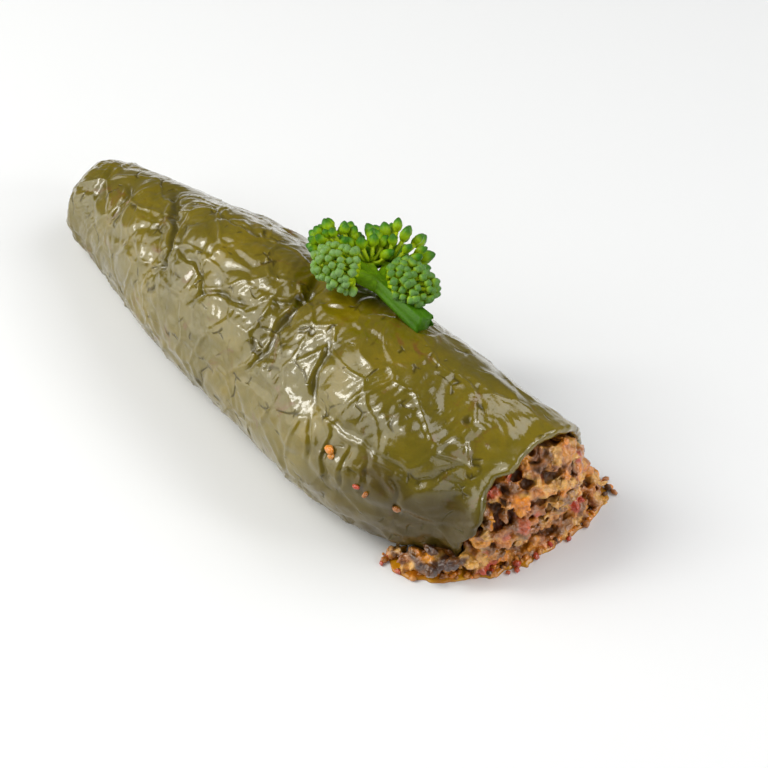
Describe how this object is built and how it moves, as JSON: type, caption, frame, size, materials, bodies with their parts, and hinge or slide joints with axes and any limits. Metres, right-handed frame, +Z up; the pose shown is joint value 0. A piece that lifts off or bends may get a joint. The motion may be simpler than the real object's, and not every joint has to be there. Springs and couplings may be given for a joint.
{
  "type": "stuffed pepper",
  "caption": "Long green pepper cooked whole and stuffed with minced meat, lying on its side with the filling standing out of its open mouth and a broccoli floret on its back.",
  "frame": {"origin": "middle of the underside, on the table", "axes": "+X along the pepper from its blossom tip to its mouth, +Z up"},
  "size_m": [0.1962, 0.0734, 0.0621],
  "materials": {
    "pepper_skin": "olive green cooked skin, oily, soft and wrinkled, slightly see-through",
    "minced_filling": "brown minced meat and rice, porous and moist, with orange and red bits",
    "broccoli": "fresh green buds with a pale bloom on a smooth green stalk"
  },
  "bodies": {
    "root": {"pepper_wall": "pepper_skin", "filling": "minced_filling", "broccoli_floret": "broccoli"}
  },
  "joints": []
}
